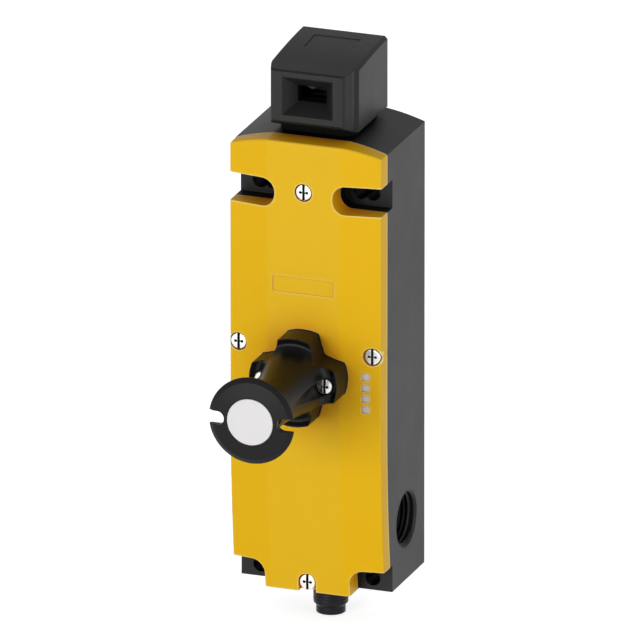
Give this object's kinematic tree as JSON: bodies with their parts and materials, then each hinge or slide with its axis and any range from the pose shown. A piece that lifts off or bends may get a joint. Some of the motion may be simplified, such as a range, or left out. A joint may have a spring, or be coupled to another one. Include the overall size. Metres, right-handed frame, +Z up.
{
  "type": "safety limit switch",
  "caption": "Key-operated safety switch with guard locking: moulded body and cover, key head, front escape release on a long dome, cable entries and plug connector.",
  "frame": {"origin": "on the rear mounting face, midway between the two lower fixing holes", "axes": "+X to the right seen from the front, +Y into the wall it is fixed to, +Z up towards the key head"},
  "size_m": [0.054, 0.0968, 0.2021],
  "materials": {
    "black_housing": "fine moulded texture",
    "yellow_cover": "satin moulded",
    "black_head": "fine moulded texture",
    "black_gloss": "smooth moulded",
    "knob_plastic": "satin",
    "cap_white": "satin",
    "black_rubber": "matt",
    "zinc_steel": "bright zinc plated",
    "steel_part": "machined",
    "spring_steel": "drawn wire",
    "brass_part": "plain",
    "copper_wire": "enamelled",
    "white_plastic": "moulded",
    "grey_plastic": "moulded",
    "window_plastic": "clear tinted",
    "led_plastic": "clear",
    "board_green": "coated",
    "connector_metal": "dark plated",
    "insert_black": "moulded"
  },
  "bodies": {
    "body": {"housing": "black_housing", "entry_bushes": "black_housing", "front_cover": "yellow_cover", "cover_gasket": "black_rubber", "cover_screws": "zinc_steel", "indicator_windows": "window_plastic", "led_board": "board_green", "leds": "led_plastic", "head_housing": "black_head", "top_slot_plug": "black_head", "head_gasket": "black_rubber", "head_screws": "zinc_steel", "cam_axle": "steel_part", "guide_bush": "brass_part", "plunger_spring": "spring_steel", "contact_block": "grey_plastic", "fixed_contacts": "brass_part", "contact_screws": "zinc_steel", "terminal_block": "grey_plastic", "terminal_screws": "zinc_steel", "block_screws": "zinc_steel", "solenoid_yoke": "steel_part", "solenoid_bobbin": "white_plastic", "solenoid_winding": "copper_wire", "solenoid_core": "steel_part", "armature_spring": "spring_steel", "lever_pin": "steel_part", "lever_clip": "spring_steel", "release_housing": "black_gloss", "release_gasket": "black_rubber", "release_screws": "zinc_steel", "release_seal": "black_rubber", "connector_shell": "connector_metal", "connector_plate": "steel_part", "connector_insert": "insert_black", "connector_pins": "brass_part"},
    "cam": {"key_cam": "insert_black"},
    "plunger_group": {"plunger": "white_plastic", "moving_contacts": "brass_part"},
    "release": {"release_shaft": "steel_part", "release_ring": "spring_steel", "release_knob": "knob_plastic", "knob_cap": "cap_white"},
    "lever": {"lock_lever": "steel_part"},
    "armature_group": {"armature": "steel_part"}
  },
  "joints": [
    {"name": "release_press", "type": "slide", "parent": "body", "child": "release", "axis": [0, 1, 0], "range_m": [0, 0.0065]},
    {"name": "lever_turn", "type": "hinge", "parent": "body", "child": "lever", "pos_m": [0.002, -0.0195, 0.062], "axis": [0, -1, 0], "range_deg": [0, 10.18]},
    {"name": "armature_pull", "type": "slide", "parent": "body", "child": "armature_group", "axis": [0, 0, -1], "range_m": [0, 0.00247], "deforming": ["armature_spring"]},
    {"name": "cam_turn", "type": "hinge", "parent": "body", "child": "cam", "pos_m": [0, -0.0195, 0.1716], "axis": [-1, 0, 0], "range_deg": [0, 60]},
    {"name": "plunger_lift", "type": "slide", "parent": "body", "child": "plunger_group", "axis": [0, 0, 1], "range_m": [0, 0.003], "deforming": ["plunger_spring"]}
  ],
  "couplings": [
    {"joint": "lever_turn", "follows": "release_press", "rad_per_m": 27.274},
    {"joint": "armature_pull", "follows": "release_press", "ratio": 0.37984},
    {"joint": "cam_turn", "follows": "plunger_lift", "rad_per_m": 349.07}
  ]
}
